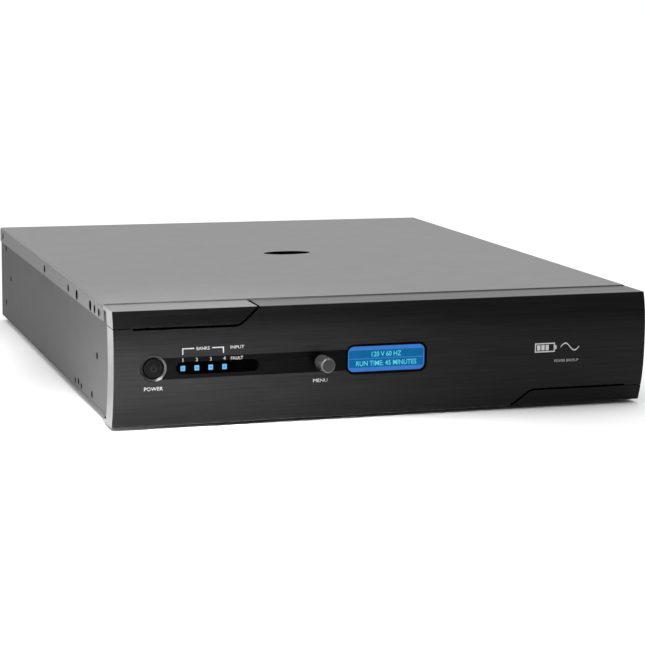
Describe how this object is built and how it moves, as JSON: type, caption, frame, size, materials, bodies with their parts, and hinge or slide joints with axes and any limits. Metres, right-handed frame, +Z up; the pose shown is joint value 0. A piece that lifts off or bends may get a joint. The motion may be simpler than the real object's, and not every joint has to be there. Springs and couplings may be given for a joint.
{
  "type": "uninterruptible power supply",
  "caption": "Full-width rack-mount battery backup with a bowed black front, push power button, menu knob, backlit display, rear outlets and a cooling fan",
  "frame": {"origin": "on the floor under the feet, below the middle of the overall box", "axes": "+X to the right seen from the front, +Y from the front panel to the rear panel, +Z up"},
  "size_m": [0.4318, 0.5448, 0.0919],
  "materials": {
    "black_aluminium": "black anodised, brushed along its length",
    "grey_paint": "grey powder coat, satin",
    "black_plastic": "moulded, fine texture",
    "gloss_black": "polished",
    "smoked_window": "dark tinted acrylic",
    "display_glass": "backlit display",
    "knob_metal": "dark anodised, turned",
    "plated_steel": "zinc plated",
    "aluminium": "mill finish",
    "circuit_board": "solder resist",
    "battery_case": "moulded",
    "copper": "enamelled windings",
    "brass": "turned",
    "rubber": "matte",
    "red_cable": "insulation",
    "black_cable": "insulation",
    "red_plastic": "moulded"
  },
  "bodies": {
    "chassis": {"front_panel": "black_aluminium", "upper_left_trim": "black_aluminium", "lower_right_trim": "black_aluminium", "control_window": "smoked_window", "control_board": "circuit_board", "power_button_bezel": "black_plastic", "power_switch": "gloss_black", "encoder_body": "plated_steel", "lcd_bezel": "gloss_black", "lcd_module": "display_glass", "left_side_panel": "grey_paint", "right_side_panel": "grey_paint", "top_cover": "grey_paint", "cover_plug": "black_plastic", "bottom_tray": "grey_paint", "sub_panel": "plated_steel", "rear_panel_ports": "grey_paint", "rear_panel_outlets": "grey_paint", "rear_panel_inlet": "grey_paint", "foot_front_left": "rubber", "foot_front_right": "rubber", "foot_rear_left": "rubber", "foot_rear_right": "rubber", "battery_1": "battery_case", "battery_2": "battery_case", "battery_3": "battery_case", "battery_4": "battery_case", "battery_bracket": "plated_steel", "battery_lead_positive": "red_cable", "battery_lead_negative": "black_cable", "transformer_core": "plated_steel", "transformer_coil": "copper", "main_board": "circuit_board", "heat_sink_left": "aluminium", "heat_sink_right": "aluminium", "filter_capacitor_1": "black_plastic", "filter_capacitor_2": "black_plastic", "bank_relay_1": "gloss_black", "bank_relay_2": "gloss_black", "bank_relay_3": "gloss_black", "bank_relay_4": "gloss_black", "fan_frame": "black_plastic", "fan_guard": "plated_steel", "outlet_bank_1": "black_plastic", "outlet_bank_2": "black_plastic", "outlet_bank_3": "black_plastic", "outlet_bank_4": "black_plastic", "inlet_housing": "black_plastic", "breaker_body": "black_plastic", "communication_ports": "plated_steel", "network_port": "plated_steel", "battery_connector_positive": "black_plastic", "battery_connector_negative": "black_plastic", "ground_terminal": "brass"},
    "power_button": {"power_button_cap": "black_plastic"},
    "menu_rotor": {"encoder_rotor": "gloss_black"},
    "menu_dial": {"menu_knob": "knob_metal", "encoder_shaft": "plated_steel"},
    "cooling_fan": {"fan_impeller": "black_plastic"},
    "breaker_reset": {"breaker_button": "red_plastic"}
  },
  "joints": [
    {"name": "power_press", "type": "slide", "parent": "chassis", "child": "power_button", "axis": [0, 1, 0], "range_m": [0, 0.0015], "stiffness_N_per_m": 600, "springref_m": -0.001},
    {"name": "menu_turn", "type": "hinge", "parent": "chassis", "child": "menu_rotor", "pos_m": [-0.0556, -0.2507, 0.0474], "axis": [0, 1, 0], "continuous": true},
    {"name": "menu_press", "type": "slide", "parent": "menu_rotor", "child": "menu_dial", "axis": [0, 1, 0], "range_m": [0, 0.0007], "stiffness_N_per_m": 900, "springref_m": -0.001},
    {"name": "fan_spin", "type": "hinge", "parent": "chassis", "child": "cooling_fan", "pos_m": [-0.095, 0.2555, 0.048], "axis": [0, 1, 0], "continuous": true},
    {"name": "breaker_trip", "type": "slide", "parent": "chassis", "child": "breaker_reset", "axis": [0, 1, 0], "range_m": [0, 0.003]}
  ]
}
